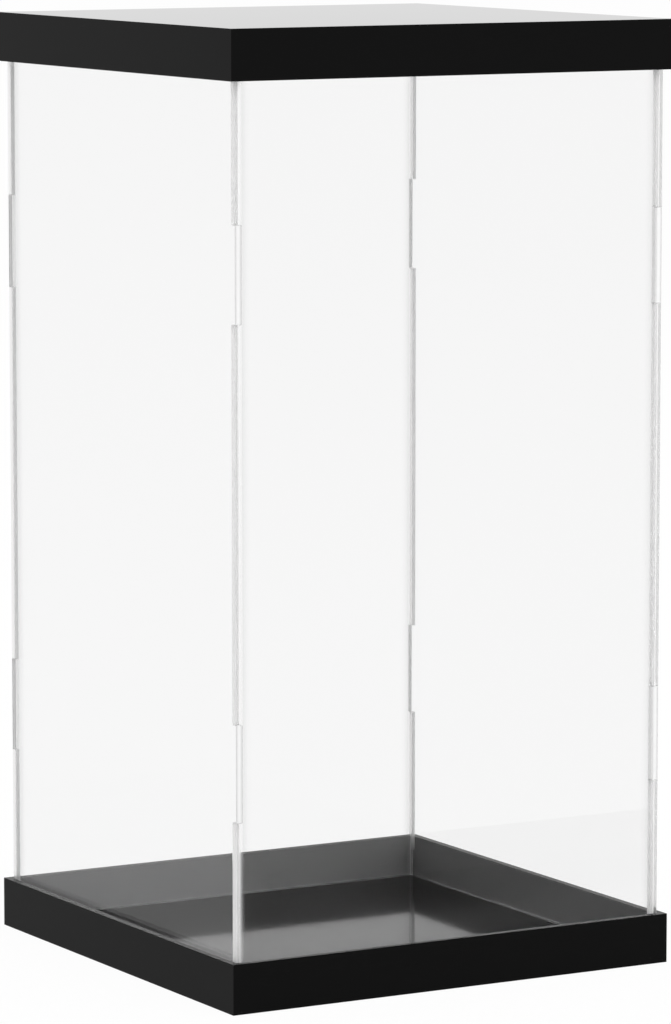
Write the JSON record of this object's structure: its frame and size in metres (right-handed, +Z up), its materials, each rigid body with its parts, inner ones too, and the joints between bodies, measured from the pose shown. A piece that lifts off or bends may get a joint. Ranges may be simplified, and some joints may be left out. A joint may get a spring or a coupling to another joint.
{
  "type": "display case",
  "caption": "Tall square clear acrylic display case with interlocking side panels, a black base tray and a black lift-off lid tray.",
  "frame": {"origin": "middle of the underside of the base tray, on the surface that the case stands on", "axes": "+Z up, front of the case towards -Y, +X to the right as seen from the front"},
  "size_m": [0.21, 0.21, 0.4],
  "materials": {
    "black_acrylic": "polished black acrylic sheet",
    "clear_acrylic": "clear polished acrylic sheet with laser-cut edges"
  },
  "bodies": {
    "base": {"base_floor": "black_acrylic", "base_wall_front": "black_acrylic", "base_wall_back": "black_acrylic", "base_wall_left": "black_acrylic", "base_wall_right": "black_acrylic"},
    "cover": {"panel_front": "clear_acrylic", "panel_back": "clear_acrylic", "panel_left": "clear_acrylic", "panel_right": "clear_acrylic"},
    "lid": {"lid_top": "black_acrylic", "lid_wall_front": "black_acrylic", "lid_wall_back": "black_acrylic", "lid_wall_left": "black_acrylic", "lid_wall_right": "black_acrylic"}
  },
  "joints": [
    {"name": "cover_lift", "type": "slide", "parent": "base", "child": "cover", "axis": [0, 0, 1], "range_m": [0, 0.42]},
    {"name": "lid_lift", "type": "slide", "parent": "cover", "child": "lid", "axis": [0, 0, 1], "range_m": [0, 0.25]}
  ]
}
